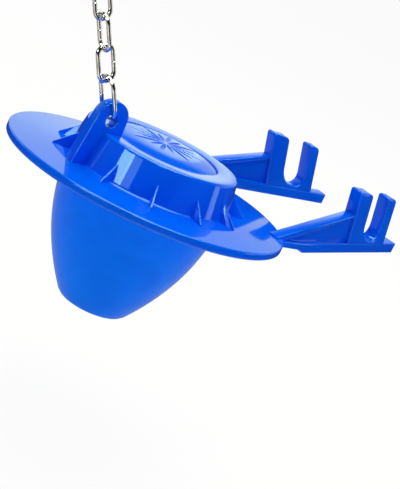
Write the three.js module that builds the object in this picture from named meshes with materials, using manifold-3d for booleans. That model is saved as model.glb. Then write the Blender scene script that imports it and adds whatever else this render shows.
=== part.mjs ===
// Cistern flapper with its lift chain.
// Millimetres, +Z up, +X towards the pivot ears.
// The origin is where the valve axis meets the sealing face under the flange.
import * as THREE from "three";
import { mergeVertices } from "three/addons/utils/BufferGeometryUtils.js";
import Module from "manifold-3d";

// ---- Driving dimensions ----
const FLANGE_RADIUS = 48;          // a flapper for a three inch valve
const FLANGE_THICKNESS = 2.6;
const FLANGE_EDGE_ROUND = 0.6;
const DRUM_BASE_RADIUS = 28;
const DRUM_TOP_RADIUS = 26.2;
const DRUM_HEIGHT = 11.7;          // above the flange
const DRUM_WALL = 2.2;
const DRUM_EDGE_ROUND = 1;
const CROWN_RADIUS = 18.6;         // the low dome inside the drum's flat rim
const CROWN_DIP = 0.5;             // step from the flat rim down to the dome's foot
const CROWN_RISE = 2.4;
const CROWN_FLATNESS = 4;           // power of the dome's fall: flat in the middle, steep at its foot

// ---- Star of grooves on the dome ----
const STAR_RAYS = 16;
const STAR_INNER_RADIUS = 2.6;
const STAR_OUTER_RADIUS = 14;
const STAR_SHORT_SHARE = 0.78;     // every other ray is shorter
const STAR_HALF_WIDTH = 0.7;
const STAR_DEPTH = 0.45;

// ---- Gussets around the drum ----
const GUSSET_DEGREES = [34, 67, 96, 125.5, 155]; // each side, from the pivot side; one more at 0
const GUSSET_THICKNESS = 1.2;
const GUSSET_REACH = 5.6;          // from the drum's foot
const GUSSET_HEIGHT = 5.6;
const GUSSET_TOP_REACH = 0.35;     // how far the blunt top stands off the drum wall

// ---- Lift lug ----
const LUG_THICKNESS = 3.5;
const LUG_EYE_X = -25.3;
const LUG_EYE_HEIGHT = 16;         // above the flange
const LUG_EYE_RADIUS = 5.8;
const LUG_HOLE_RADIUS = 2.2;
const LUG_HOLE_DROP = 0.5;          // the hole sits a little below the eye's centre
const LUG_FOOT_X = -33.4;
const LUG_DRUM_X = -19.2;          // where its inner edge lands on the drum

// ---- Arms and pivot ears ----
const ARM_OFFSET = 26.2;           // from the mid plane, where the arm crosses the flange radius
const ARM_TOE_IN_DEG = 6.9;
const ARM_RISE_DEG = 5.5;
const ARM_ROOT = -14;              // along the arm, from the flange radius
const ARM_LENGTH = 55;
const STRIP_WIDTH = 5.4;
const STRIP_DROP = 1.1;            // outside the flange the strip hangs this far under it
const WEB_THICKNESS = 2.4;
const BORDER_WIDTH = 4.2;          // the raised border along the web's sloping top
const BORDER_DEPTH = 1.3;
const WEB_ROOT_HEIGHT = 0.4;
const WEB_EAR_HEIGHT = 13;
const EAR_START = 22;              // foot of the front prong's free edge
const EAR_LEAN_DEG = 20;
const EAR_HEIGHT = 21.5;           // above the flange
const FRONT_PRONG_WIDTH = 7.4;
const SLOT_WIDTH = 10.4;
const SLOT_FLOOR = 4.6;            // above the flange
const REAR_PRONG_WIDTH = 4.8;
const PRONG_ROUND = 1.2;

// ---- Float cup under the flange ----
const CUP_STEP = 0.8;              // the cup's top is this much smaller in radius than the drum's foot
const CUP_TOP_RADIUS = DRUM_BASE_RADIUS - CUP_STEP;
const CUP_BASE_RADIUS = 11.6;
const CUP_DEPTH = 43.1;
const CUP_BULGE = 16;
const CUP_WALL = 1.6;
const CUP_BASE_ROUND = 0.9;
const NECK_CLEARANCE = 1.8;        // between the drum's bore and the neck that plugs into it
const CUP_NECK_RADIUS = DRUM_BASE_RADIUS - DRUM_WALL - NECK_CLEARANCE;
const CUP_NECK_HEIGHT = 4;
const BLEED_HOLE_RADIUS = 2;
const SEAT_CLEARANCE = 0.3;        // kept where two pieces meet
const SEAT_RECESS = 0.4;           // depth of the recess under the flange that takes the cup's shoulder
const SEAT_RECESS_GAP = 0.8;       // around the shoulder

// ---- Lift chain ----
const WIRE_RADIUS = 0.67;
const LINK_LENGTH = 12.45;         // over the wire
const LINK_WIDTH = 6.6;
const LONG_LINK_LENGTH = 14.7;
const LONG_LINK_WIDTH = 8.4;
const PLAIN_LINKS = 3;
const LINK_CLEARANCE = 0.12;       // left between wires that bear on each other
const CHAIN_LEAN = -0.475;         // pull towards the lug side, as a share of unit length
const CHAIN_SWAY = 0.1;            // pull to one side
const CLIP_LENGTH = 17;
const CLIP_WIDTH = 8;
const CLIP_WIRE_RADIUS = 0.8;
const CLIP_MOUTH_DEG = 62;

// ---- Fineness ----
const ROUND_SEGMENTS = 96;
const CUP_SEGMENTS = 64;
const CUP_STEPS = 9;
const CROWN_STEPS = 6;
const CROWN_UNDER_STEPS = 2;
const EDGE_STEPS = 2;
const WIRE_SIDES = 10;
const BOW_STEPS = 12;
const CURVE_SEGMENTS = 10;

const wasm = await Module();
wasm.setup();
const { Manifold, Mesh: SolidMesh } = wasm;
const RAD = Math.PI / 180;
const WELD_DISTANCE = 1e-4;
const TOP = FLANGE_THICKNESS;

/** A three.js geometry as a solid that can be joined and cut. */
function solid(geometry) {
  const bare = new THREE.BufferGeometry();
  bare.setAttribute("position", geometry.getAttribute("position"));
  bare.setIndex(geometry.index);
  const welded = mergeVertices(bare, WELD_DISTANCE);
  const corners = Array.from(welded.index.array);
  const kept = [];
  for (let i = 0; i < corners.length; i += 3) {
    const [a, b, c] = corners.slice(i, i + 3);
    if (a !== b && b !== c && c !== a) kept.push(a, b, c);
  }
  return new Manifold(new SolidMesh({
    numProp: 3,
    vertProperties: new Float32Array(welded.getAttribute("position").array),
    triVerts: new Uint32Array(kept),
  }));
}

/** A finished solid as a named mesh of its own colour. */
function piece(name, shape, colour, metalness = 0, roughness = 0.35) {
  const raw = shape.getMesh();
  const geometry = new THREE.BufferGeometry();
  geometry.setAttribute("position", new THREE.BufferAttribute(new Float32Array(raw.vertProperties), 3));
  geometry.setIndex(new THREE.BufferAttribute(new Uint32Array(raw.triVerts), 1));
  const flat = geometry.toNonIndexed();
  flat.computeVertexNormals();
  const mesh = new THREE.Mesh(flat, new THREE.MeshStandardMaterial({ color: colour, metalness, roughness }));
  mesh.name = name;
  return mesh;
}

/** A closed profile of [radius, height] points turned about +Z. */
function turned(profile, segments) {
  const points = [...profile, profile[0]].map(([r, z]) => new THREE.Vector2(r, z));
  return solid(new THREE.LatheGeometry(points, segments).rotateX(Math.PI / 2));
}

/** A flat outline in X and Z, given thickness evenly about the XZ plane. */
function plate(shape, thickness) {
  const geometry = new THREE.ExtrudeGeometry(shape, {
    depth: thickness, bevelEnabled: false, curveSegments: CURVE_SEGMENTS,
  });
  return solid(geometry.translate(0, 0, -thickness / 2).rotateX(Math.PI / 2));
}

/** Points of a round corner from one angle to another. */
function arc(x, y, radius, fromDeg, toDeg, steps) {
  return Array.from({ length: steps + 1 }, (_, i) => {
    const a = (fromDeg + ((toDeg - fromDeg) * i) / steps) * RAD;
    return [x + radius * Math.cos(a), y + radius * Math.sin(a)];
  });
}

/** Height of the drum's domed crown at a radius. */
function crownHeight(radius) {
  const share = radius / CROWN_RADIUS;
  return TOP + DRUM_HEIGHT - CROWN_DIP + CROWN_RISE * (1 - share ** CROWN_FLATNESS);
}

/** Flange and hollow drum as one turned form, open underneath. */
function turnedBody() {
  const rimZ = TOP + DRUM_HEIGHT;
  const inside = DRUM_WALL;
  const crown = Array.from({ length: CROWN_STEPS + 1 }, (_, i) => {
    const r = i === CROWN_STEPS ? 0 : CROWN_RADIUS * Math.cos((i / CROWN_STEPS) * 90 * RAD);
    return [r, crownHeight(r)];
  });
  const underCrown = Array.from({ length: CROWN_UNDER_STEPS + 1 }, (_, i) => {
    const r = (CROWN_RADIUS * i) / CROWN_UNDER_STEPS;
    return [r, crownHeight(r) - inside];
  });
  return turned([
    [DRUM_BASE_RADIUS - inside, SEAT_RECESS],
    [CUP_TOP_RADIUS + SEAT_RECESS_GAP, SEAT_RECESS],
    [CUP_TOP_RADIUS + SEAT_RECESS_GAP + SEAT_RECESS, 0],
    ...arc(FLANGE_RADIUS - FLANGE_EDGE_ROUND, FLANGE_EDGE_ROUND, FLANGE_EDGE_ROUND, -90, 0, EDGE_STEPS),
    ...arc(FLANGE_RADIUS - FLANGE_EDGE_ROUND, TOP - FLANGE_EDGE_ROUND, FLANGE_EDGE_ROUND, 0, 90, EDGE_STEPS),
    [DRUM_BASE_RADIUS, TOP],
    ...arc(DRUM_TOP_RADIUS - DRUM_EDGE_ROUND, rimZ - DRUM_EDGE_ROUND, DRUM_EDGE_ROUND, 10, 90, EDGE_STEPS + 1),
    [CROWN_RADIUS + CROWN_DIP, rimZ],
    ...crown,
    ...underCrown,
    [DRUM_TOP_RADIUS - inside, crownHeight(CROWN_RADIUS) - inside],
  ], ROUND_SEGMENTS);
}

/** One groove of the star: a slim spindle that follows the dome. */
function groove(outerRadius) {
  const length = outerRadius - STAR_INNER_RADIUS;
  const middle = (outerRadius + STAR_INNER_RADIUS) / 2;
  const geometry = new THREE.SphereGeometry(1, 8, 6);
  const drop = crownHeight(STAR_INNER_RADIUS) - crownHeight(outerRadius);
  geometry.scale(length / 2, STAR_HALF_WIDTH, STAR_DEPTH);
  geometry.rotateY(Math.atan2(drop, length));
  return solid(geometry).translate([middle, 0, crownHeight(middle)]);
}

/** All the star's grooves. */
function star() {
  return Manifold.union(Array.from({ length: STAR_RAYS }, (_, i) => {
    const reach = i % 2 ? STAR_SHORT_SHARE : 1;
    return groove(STAR_OUTER_RADIUS * reach).rotate([0, 0, (360 / STAR_RAYS) * i]);
  }));
}

/** A thin triangular gusset between drum wall and flange, pointing along +X. */
function gusset() {
  const sunk = 1;
  const footRadius = DRUM_BASE_RADIUS + GUSSET_REACH;
  const wall = (z) => DRUM_BASE_RADIUS - ((DRUM_BASE_RADIUS - DRUM_TOP_RADIUS) * z) / DRUM_HEIGHT;
  const shape = new THREE.Shape();
  shape.moveTo(DRUM_BASE_RADIUS - sunk, TOP - sunk);
  shape.lineTo(footRadius, TOP - sunk);
  shape.lineTo(footRadius, TOP + GUSSET_TOP_REACH);
  shape.lineTo(wall(GUSSET_HEIGHT) + GUSSET_TOP_REACH, TOP + GUSSET_HEIGHT);
  shape.lineTo(wall(GUSSET_HEIGHT) - sunk, TOP + GUSSET_HEIGHT + GUSSET_TOP_REACH / 2);
  return plate(shape, GUSSET_THICKNESS);
}

/** Gussets on both sides, and one on the mid plane between the arms. */
function gussets() {
  const set = [gusset()];
  for (const degrees of GUSSET_DEGREES) {
    for (const side of [-1, 1]) set.push(gusset().rotate([0, 0, side * degrees]));
  }
  return Manifold.union(set);
}

/** The lift lug: a plate that climbs the drum wall and ends in a round eye. */
function lug() {
  const sunk = 1;
  const eyeZ = TOP + LUG_EYE_HEIGHT;
  const footward = new THREE.Vector2(LUG_FOOT_X - LUG_EYE_X, TOP - eyeZ);
  const drumward = new THREE.Vector2(LUG_DRUM_X - LUG_EYE_X, TOP + DRUM_HEIGHT - eyeZ);
  const tangent = (to, side) => to.angle() + side * Math.acos(LUG_EYE_RADIUS / to.length());
  const shape = new THREE.Shape();
  shape.moveTo(LUG_FOOT_X, TOP - sunk);
  shape.lineTo(LUG_FOOT_X, TOP);
  shape.absarc(LUG_EYE_X, eyeZ, LUG_EYE_RADIUS, tangent(footward, -1), tangent(drumward, 1) - 2 * Math.PI, true);
  shape.lineTo(LUG_DRUM_X, TOP + DRUM_HEIGHT - sunk);
  shape.lineTo(LUG_EYE_X + sunk, TOP + DRUM_HEIGHT - sunk);
  shape.lineTo(sunk - DRUM_BASE_RADIUS, TOP - sunk);
  const hole = new THREE.Path();
  hole.absarc(LUG_EYE_X, eyeZ - LUG_HOLE_DROP, LUG_HOLE_RADIUS, 0, 2 * Math.PI, false);
  shape.holes.push(hole);
  return plate(shape, LUG_THICKNESS);
}

/** One arm with its forked ear, along +X from the flange radius. */
function arm() {
  const lean = Math.tan(EAR_LEAN_DEG * RAD);
  const rise = Math.tan(ARM_RISE_DEG * RAD);
  const leant = (x, z) => [x + (WEB_EAR_HEIGHT - z) * lean, TOP + z];
  const floor = (x) => TOP + Math.max(0, x) * rise;

  const strip = new THREE.Shape();
  strip.moveTo(ARM_ROOT, 0);
  strip.lineTo(0, 0);
  strip.lineTo(2 * STRIP_DROP, 2 * STRIP_DROP * rise - STRIP_DROP);
  strip.lineTo(ARM_LENGTH, ARM_LENGTH * rise - STRIP_DROP);
  strip.lineTo(ARM_LENGTH, floor(ARM_LENGTH));
  strip.lineTo(0, TOP);
  strip.lineTo(ARM_ROOT, TOP);

  const buried = 1;
  const web = new THREE.Shape();
  web.moveTo(ARM_ROOT, TOP - buried);
  web.lineTo(ARM_ROOT, TOP + WEB_ROOT_HEIGHT);
  web.lineTo(...leant(EAR_START, WEB_EAR_HEIGHT));
  web.lineTo(EAR_START + FRONT_PRONG_WIDTH / 2, floor(EAR_START) + WEB_EAR_HEIGHT / 2);
  web.lineTo(EAR_START + FRONT_PRONG_WIDTH / 2, floor(EAR_START) - buried);
  web.lineTo(0, TOP - buried);

  const border = new THREE.Shape();
  border.moveTo(ARM_ROOT, TOP - buried);
  border.lineTo(ARM_ROOT, TOP + WEB_ROOT_HEIGHT);
  border.lineTo(...leant(EAR_START, WEB_EAR_HEIGHT));
  border.lineTo(EAR_START + FRONT_PRONG_WIDTH / 2, TOP + WEB_EAR_HEIGHT);
  border.lineTo(EAR_START + FRONT_PRONG_WIDTH / 2, TOP + WEB_EAR_HEIGHT - BORDER_DEPTH);
  border.lineTo(...leant(EAR_START, WEB_EAR_HEIGHT - BORDER_DEPTH));
  border.lineTo(ARM_ROOT + 2 * BORDER_DEPTH, TOP - buried);

  const slotStart = EAR_START + FRONT_PRONG_WIDTH;
  const rearStart = slotStart + SLOT_WIDTH;
  const rearEnd = rearStart + REAR_PRONG_WIDTH;
  const foot = (x) => {
    const z = (x + WEB_EAR_HEIGHT * lean) * rise / (1 + rise * lean);
    return [x + (WEB_EAR_HEIGHT - z) * lean, TOP + z - buried];
  };
  const roundedTop = (shape, fromX, toX, direction) => {
    const first = direction > 0 ? fromX : toX;
    const last = direction > 0 ? toX : fromX;
    shape.lineTo(...leant(first, EAR_HEIGHT - PRONG_ROUND));
    shape.quadraticCurveTo(...leant(first, EAR_HEIGHT), ...leant(first + direction * PRONG_ROUND, EAR_HEIGHT));
    shape.lineTo(...leant(last - direction * PRONG_ROUND, EAR_HEIGHT));
    shape.quadraticCurveTo(...leant(last, EAR_HEIGHT), ...leant(last, EAR_HEIGHT - PRONG_ROUND));
  };
  const ear = new THREE.Shape();
  ear.moveTo(...foot(EAR_START));
  roundedTop(ear, EAR_START, slotStart, 1);
  const half = SLOT_WIDTH / 2;
  ear.lineTo(...leant(slotStart, SLOT_FLOOR + half));
  ear.bezierCurveTo(
    ...leant(slotStart, SLOT_FLOOR), ...leant(rearStart, SLOT_FLOOR), ...leant(rearStart, SLOT_FLOOR + half),
  );
  roundedTop(ear, rearStart, rearEnd, 1);
  ear.lineTo(...foot(rearEnd));

  return Manifold.union([
    plate(strip, STRIP_WIDTH), plate(web, WEB_THICKNESS), plate(border, BORDER_WIDTH), plate(ear, STRIP_WIDTH),
  ]);
}

/** Both arms, toed in towards the mid plane. */
function arms() {
  return Manifold.union([-1, 1].map((side) => arm()
    .rotate([0, 0, -side * ARM_TOE_IN_DEG])
    .translate([FLANGE_RADIUS, side * ARM_OFFSET, 0])));
}

/** The moulded flapper: flange, drum, gussets, lug, arms and ears in one. */
function flapperBody() {
  return Manifold.union([turnedBody(), gussets(), lug(), arms()]).subtract(star());
}

/** Outer radius of the float cup at a share of its depth. */
function cupRadius(share) {
  return CUP_TOP_RADIUS * (1 - share) + CUP_BASE_RADIUS * share + CUP_BULGE * share * (1 - share);
}

/** The float cup: a thin bullet shaped wall with a neck that plugs into the drum. */
function floatCup() {
  const shoulder = SEAT_RECESS - SEAT_CLEARANCE;
  const lowest = shoulder - CUP_DEPTH;
  const outer = Array.from({ length: CUP_STEPS }, (_, i) => {
    const share = i / CUP_STEPS;
    return [cupRadius(share), shoulder - CUP_DEPTH * share];
  });
  const inner = outer.slice(1).reverse().map(([r, z]) => [r - CUP_WALL, z]);
  return turned([
    [CUP_NECK_RADIUS, CUP_NECK_HEIGHT],
    [CUP_NECK_RADIUS, shoulder],
    ...outer,
    ...arc(CUP_BASE_RADIUS - CUP_BASE_ROUND, lowest + CUP_BASE_ROUND, CUP_BASE_ROUND, -20, -90, 3),
    [BLEED_HOLE_RADIUS, lowest],
    [BLEED_HOLE_RADIUS, lowest + CUP_WALL],
    [CUP_BASE_RADIUS - CUP_WALL, lowest + CUP_WALL],
    ...inner,
    [CUP_NECK_RADIUS - CUP_WALL, shoulder - CUP_WALL],
    [CUP_NECK_RADIUS - CUP_WALL, CUP_NECK_HEIGHT],
  ].reverse(), CUP_SEGMENTS);
}

/** Round wire along a flat path of [across, along] points, in the XZ plane. */
function wire(path, radius, closed) {
  const count = path.length;
  const positions = [];
  const triangles = [];
  for (let i = 0; i < count; i += 1) {
    const before = path[closed ? (i + count - 1) % count : Math.max(0, i - 1)];
    const after = path[closed ? (i + 1) % count : Math.min(count - 1, i + 1)];
    const run = new THREE.Vector2(after[0] - before[0], after[1] - before[1]).normalize();
    for (let k = 0; k < WIRE_SIDES; k += 1) {
      const a = (2 * Math.PI * k) / WIRE_SIDES;
      const off = radius * Math.cos(a);
      positions.push(path[i][0] - run.y * off, radius * Math.sin(a), path[i][1] + run.x * off);
    }
  }
  const spans = closed ? count : count - 1;
  for (let i = 0; i < spans; i += 1) {
    for (let k = 0; k < WIRE_SIDES; k += 1) {
      const a = i * WIRE_SIDES + k;
      const b = i * WIRE_SIDES + ((k + 1) % WIRE_SIDES);
      const c = ((i + 1) % count) * WIRE_SIDES + k;
      const d = ((i + 1) % count) * WIRE_SIDES + ((k + 1) % WIRE_SIDES);
      triangles.push(a, b, c, b, d, c);
    }
  }
  if (!closed) {
    for (let k = 1; k < WIRE_SIDES - 1; k += 1) {
      const last = (count - 1) * WIRE_SIDES;
      triangles.push(0, k + 1, k, last, last + k, last + k + 1);
    }
  }
  const geometry = new THREE.BufferGeometry();
  geometry.setAttribute("position", new THREE.Float32BufferAttribute(positions, 3));
  geometry.setIndex(triangles);
  const body = solid(geometry);
  return body.volume() < 0 ? solid(geometry.clone().setIndex(triangles.slice().reverse())) : body;
}

/** A closed oval link standing on its lower bow's wire centre, long way up. */
function link(length, width) {
  const bow = width / 2 - WIRE_RADIUS;
  const reach = length - 2 * WIRE_RADIUS - bow;
  return wire([
    ...arc(0, bow, bow, 180, 360, BOW_STEPS),
    ...arc(0, reach, bow, 0, 180, BOW_STEPS),
  ], WIRE_RADIUS, true);
}

/** The end clip: a long open ring of stouter wire, with its mouth at one side. */
function clip() {
  const bow = CLIP_WIDTH / 2 - CLIP_WIRE_RADIUS;
  const reach = CLIP_LENGTH - 2 * CLIP_WIRE_RADIUS - bow;
  const steps = BOW_STEPS + BOW_STEPS / 2;
  return wire([
    ...arc(0, bow, bow, 90 + CLIP_MOUTH_DEG, 360, steps),
    ...arc(0, reach, bow, 0, 180 + CLIP_MOUTH_DEG / 2, steps),
  ], CLIP_WIRE_RADIUS, false);
}

/** Turns an upright chain piece to the chain's pull and moves it up the chain. */
function hung(shape, quarterTurn, distance) {
  const pull = new THREE.Vector3(CHAIN_LEAN, CHAIN_SWAY, 0);
  pull.z = Math.sqrt(1 - pull.lengthSq());
  const start = new THREE.Vector3(LUG_EYE_X, 0, TOP + LUG_EYE_HEIGHT - LUG_HOLE_DROP);
  const turn = new THREE.Quaternion().setFromUnitVectors(new THREE.Vector3(0, 0, 1), pull);
  const spin = new THREE.Quaternion().setFromAxisAngle(new THREE.Vector3(0, 0, 1), quarterTurn * Math.PI / 2);
  const place = start.addScaledVector(pull, distance);
  const matrix = new THREE.Matrix4().compose(place, turn.multiply(spin), new THREE.Vector3(1, 1, 1));
  return shape.transform(matrix.elements);
}

/** The chain's pieces, from the lug up. */
function chainPieces() {
  const steel = 0xb9bcc2;
  const bearing = 2 * WIRE_RADIUS + LINK_CLEARANCE;
  const pieces = [];
  let along = LUG_HOLE_RADIUS - WIRE_RADIUS - LINK_CLEARANCE - bearing / 2;
  pieces.push(piece("chain_lug_link", hung(link(LONG_LINK_LENGTH, LONG_LINK_WIDTH), 1, along), steel, 1, 0.25));
  along += LONG_LINK_LENGTH - 2 * WIRE_RADIUS - bearing;
  for (let i = 0; i < PLAIN_LINKS; i += 1) {
    const shape = hung(link(LINK_LENGTH, LINK_WIDTH), i % 2, along);
    pieces.push(piece(`chain_link_${i + 1}`, shape, steel, 1, 0.25));
    along += LINK_LENGTH - 2 * WIRE_RADIUS - bearing;
  }
  const clipDrop = CLIP_WIRE_RADIUS - WIRE_RADIUS;
  pieces.push(piece("chain_end_clip", hung(clip(), PLAIN_LINKS % 2, along - clipDrop), steel, 1, 0.3));
  return pieces;
}

const part = new THREE.Group();
part.name = "toilet_flapper";
part.add(piece("flapper_body", flapperBody(), 0x0a55e0));
part.add(piece("float_cup", floatCup(), 0x0a4fd6, 0, 0.45));
part.add(...chainPieces());

export default part;
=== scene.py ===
"""Dresses a cistern flapper: its moulded body, its float cup and its lift chain.

Lengths are in millimetres until they reach Blender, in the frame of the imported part:
+Z up along the valve axis, +X towards the pivot ears, origin in the sealing face.
"""
from __future__ import annotations

import functools
import logging
import math
from dataclasses import dataclass, field
from enum import Enum
from typing import Sequence

import bmesh
import bpy
from bpy.types import Material, Node, NodeSocket, NodeTree, Object
from mathutils import Matrix, Quaternion, Vector

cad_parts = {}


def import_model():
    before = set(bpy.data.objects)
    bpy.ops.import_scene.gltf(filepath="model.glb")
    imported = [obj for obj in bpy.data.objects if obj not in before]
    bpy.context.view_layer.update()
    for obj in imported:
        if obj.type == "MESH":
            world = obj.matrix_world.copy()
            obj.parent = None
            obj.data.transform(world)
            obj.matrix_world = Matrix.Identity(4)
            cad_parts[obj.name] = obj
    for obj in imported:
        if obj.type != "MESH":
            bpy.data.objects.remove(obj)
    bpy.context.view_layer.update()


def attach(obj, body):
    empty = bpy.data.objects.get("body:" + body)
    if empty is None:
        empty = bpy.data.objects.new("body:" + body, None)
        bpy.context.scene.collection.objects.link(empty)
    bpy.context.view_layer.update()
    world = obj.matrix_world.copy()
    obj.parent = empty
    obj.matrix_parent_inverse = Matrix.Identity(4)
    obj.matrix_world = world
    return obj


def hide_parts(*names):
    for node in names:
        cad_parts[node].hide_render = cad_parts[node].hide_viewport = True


LOG = logging.getLogger("flapper")
MM = 0.001
SMOOTH_ANGLE = math.radians(32)
WELD_DISTANCE = 0.002
TINY = 1e-6
ROOT = "root"
UPRIGHT = Matrix.Rotation(math.pi / 2, 4, "X")
QUARTER_TURN = math.pi / 2
FULL_TURN = 2 * math.pi
Point = tuple[float, float]
Colour = tuple[float, float, float]
Range = tuple[float, float]
Ramps = tuple[tuple[Range, Range], ...]
WHITE: Colour = (1.0, 1.0, 1.0)


# ---------------------------------------------------------------- node trees


class Tree:
    """Short ways to write a node tree."""

    def __init__(self, tree: NodeTree) -> None:
        """Takes the tree to write.

        Args:
            tree: A shader or geometry tree.
        """
        self.tree = tree

    def add(self, kind: str, inputs: dict[str | int, object] | None = None, **settings: object) -> Node:
        """Adds a node.

        Args:
            kind: The node's type name.
            inputs: What goes into its inputs, by name or place: output sockets or plain values.
            **settings: Attributes to set on it first.

        Returns:
            The new node.
        """
        node = self.tree.nodes.new(kind)
        for key, value in settings.items():
            setattr(node, key, value)
        for key, value in (inputs or {}).items():
            self.put(value, node.inputs[key])
        return node

    def put(self, value: object, socket: NodeSocket) -> None:
        """Links a socket, or sets a plain value.

        Args:
            value: An output socket or a plain value.
            socket: The input to feed.
        """
        if isinstance(value, NodeSocket):
            self.tree.links.new(value, socket)
        else:
            socket.default_value = value

    def math(self, operation: str, *values: object) -> NodeSocket:
        """Adds a Math node.

        Args:
            operation: The operation's name.
            *values: Sockets or numbers, in order.

        Returns:
            The result.
        """
        return self.add("ShaderNodeMath", dict(enumerate(values)), operation=operation).outputs[0]

    def plus(self, first: object, second: object) -> NodeSocket:
        """Adds two values."""
        return self.math("ADD", first, second)

    def minus(self, first: object, second: object) -> NodeSocket:
        """Takes the second value from the first."""
        return self.math("SUBTRACT", first, second)

    def times(self, first: object, second: object) -> NodeSocket:
        """Multiplies two values."""
        return self.math("MULTIPLY", first, second)

    def over(self, first: object, second: object) -> NodeSocket:
        """Divides the first value by the second."""
        return self.math("DIVIDE", first, second)

    def larger(self, first: object, second: object) -> NodeSocket:
        """The larger of two values."""
        return self.math("MAXIMUM", first, second)

    def split(self, vector: NodeSocket) -> Sequence[NodeSocket]:
        """A vector's X, Y and Z."""
        return self.add("ShaderNodeSeparateXYZ", {0: vector}).outputs


class Nodes(Tree):
    """Short ways to write a shader tree."""

    def __init__(self, data: Material | bpy.types.World) -> None:
        """Starts an empty tree.

        Args:
            data: The material or world that shows it.
        """
        data.use_nodes = True
        super().__init__(data.node_tree)
        self.tree.nodes.clear()

    def place(self) -> NodeSocket:
        """The Object coordinates."""
        return self.add("ShaderNodeTexCoord").outputs["Object"]

    def noise(
        self, place: NodeSocket, size: float, detail: float, roughness: float, distortion: float = 0.0
    ) -> NodeSocket:
        """Adds a noise texture.

        Args:
            place: The coordinates.
            size: A feature's size in millimetres.
            detail: Octaves.
            roughness: How much the finer octaves count.
            distortion: How far the pattern is pulled about.

        Returns:
            The noise's factor.
        """
        return self.add("ShaderNodeTexNoise", {
            "Scale": 1 / (size * MM), "Detail": detail, "Roughness": roughness, "Distortion": distortion,
            "Vector": place,
        }).outputs["Fac"]

    def scuffs(self, place: NodeSocket) -> NodeSocket:
        """Adds sparse hairline scuffs from handling.

        Args:
            place: The coordinates.

        Returns:
            A height, mostly zero, below zero in a scuff.
        """
        drawn_out = self.add("ShaderNodeMapping", {
            "Rotation": (0.3, 0.5, 0.9), "Scale": (1.0, 14.0, 1.0), "Vector": place,
        })
        streaks = self.noise(drawn_out.outputs["Vector"], 16, 3, 0.6)
        return self.remap(streaks, (0.70, 0.74), (0.0, -1.0))

    def remap(self, value: NodeSocket, source: Range, target: Range) -> NodeSocket:
        """Maps a range smoothly onto another, clamped.

        Args:
            value: The socket to map.
            source: The values that become the target's ends.
            target: The ends.

        Returns:
            The mapped value.
        """
        ends = dict(zip(("From Min", "From Max", "To Min", "To Max"), (*source, *target)))
        node = self.add("ShaderNodeMapRange", {**ends, "Value": value}, interpolation_type="SMOOTHSTEP")
        return node.outputs["Result"]

    def tinted(self, factor: NodeSocket, first: Colour, second: Colour) -> NodeSocket:
        """Mixes two colours.

        Args:
            factor: The second colour's share.
            first: The first colour.
            second: The second colour.

        Returns:
            The mixed colour.
        """
        node = self.add("ShaderNodeMix", {
            "Factor": factor, "A": (*first, 1), "B": (*second, 1),
        }, data_type="RGBA")
        return node.outputs["Result"]

    def bumped(self, height: NodeSocket, strength: float, depth: float) -> NodeSocket:
        """Makes a normal from a height.

        Args:
            height: The height.
            strength: The bump's strength.
            depth: What a height of 1 stands for, in millimetres.

        Returns:
            The normal.
        """
        node = self.add("ShaderNodeBump", {"Strength": strength, "Distance": depth * MM, "Height": height})
        return node.outputs["Normal"]

    def mixed(self, factor: object, first: NodeSocket, second: NodeSocket) -> NodeSocket:
        """Mixes two shaders.

        Args:
            factor: The second shader's share.
            first: The first shader.
            second: The second shader.

        Returns:
            The mixed shader.
        """
        return self.add("ShaderNodeMixShader", {0: factor, 1: first, 2: second}).outputs[0]

    def output(self, surface: NodeSocket, kind: str = "ShaderNodeOutputMaterial") -> None:
        """Ends the tree.

        Args:
            surface: The shader to show.
            kind: The output node's type.
        """
        self.add(kind, {"Surface": surface})


# ---------------------------------------------------------------- finishes


@dataclass(frozen=True)
class MouldedPlastic:
    """A moulded blue plastic: its colours, its gloss and its fine surface."""

    name: str
    colour: Colour
    deep_colour: Colour
    roughness: float
    roughness_spread: float
    specular: float
    specular_tint: Colour
    flow_size: float
    grain_size: float
    grain_depth: float
    cloud_share: float = 0.3
    bump_strength: float = 0.35
    refraction: float = 1.5

    def build(self) -> Material:
        """Builds the material.

        Returns:
            A material that reads Object coordinates only.
        """
        material = bpy.data.materials.new(self.name)
        tree = Nodes(material)
        place = tree.place()
        flow = tree.noise(place, self.flow_size, 3, 0.55, distortion=0.8)
        colour = tree.tinted(tree.remap(flow, (0.35, 0.75), (0.0, 1.0)), self.colour, self.deep_colour)
        cloud = tree.noise(place, self.flow_size * self.cloud_share, 4, 0.6)
        gloss = (self.roughness - self.roughness_spread, self.roughness + self.roughness_spread)
        surface = tree.plus(tree.noise(place, self.grain_size, 2, 0.5), tree.scuffs(place))
        shader = tree.add("ShaderNodeBsdfPrincipled", {
            "IOR": self.refraction,
            "Specular IOR Level": self.specular,
            "Specular Tint": (*self.specular_tint, 1),
            "Base Color": colour,
            "Roughness": tree.remap(cloud, (0.3, 0.7), gloss),
            "Normal": tree.bumped(surface, self.bump_strength, self.grain_depth),
        })
        tree.output(shader.outputs["BSDF"])
        return material


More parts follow.
